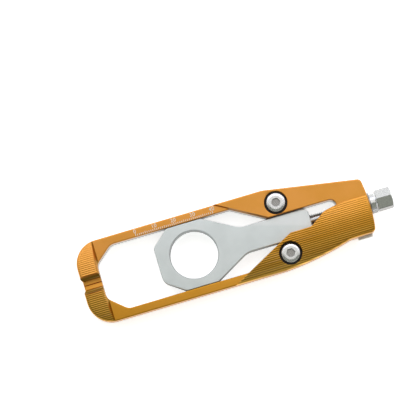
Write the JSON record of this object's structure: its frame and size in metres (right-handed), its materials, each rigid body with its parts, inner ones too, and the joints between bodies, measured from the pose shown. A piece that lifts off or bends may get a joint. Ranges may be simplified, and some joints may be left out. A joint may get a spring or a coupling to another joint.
{
  "type": "motorcycle chain adjuster",
  "caption": "Long anodised loop frame with a ribbed head, a sliding axle block inside it and a captive hex headed screw that moves the block to tension a drive chain.",
  "frame": {"origin": "axis of the axle bore on the plane of the back face, with the block at the scale reading of the picture", "axes": "+X along the adjusting screw towards its hex head, +Z out of the front face, +Y towards the rail with the scale"},
  "size_m": [0.1609, 0.042, 0.0155],
  "materials": {
    "orange_anodised": "satin anodised",
    "silver_anodised": "satin",
    "block_anodised": "matt, bead blasted",
    "plated_steel": "polished",
    "spring_steel": "oiled",
    "black_rubber": "matt",
    "washer_steel": "ground",
    "screw_steel": "stainless",
    "black_plastic": "matt"
  },
  "bodies": {
    "frame": {"cover": "orange_anodised", "carrier": "silver_anodised", "thrust_washer": "washer_steel", "cover_screw_upper": "screw_steel", "cover_screw_lower": "screw_steel", "screw_washer_upper": "black_plastic", "screw_washer_lower": "black_plastic"},
    "screw": {"adjusting_screw": "plated_steel", "retaining_clip": "spring_steel", "friction_ring": "black_rubber"},
    "block": {"axle_block": "block_anodised"}
  },
  "joints": [
    {"name": "screw_turn", "type": "hinge", "parent": "frame", "child": "screw", "pos_m": [0.08, 0, 0.0062], "axis": [-1, 0, 0], "range_deg": [-9180, 5004]},
    {"name": "block_slide", "type": "slide", "parent": "frame", "child": "block", "axis": [1, 0, 0], "range_m": [-0.0255, 0.0139]}
  ],
  "couplings": [
    {"joint": "block_slide", "follows": "screw_turn", "m_per_rad": 0.00015915}
  ]
}
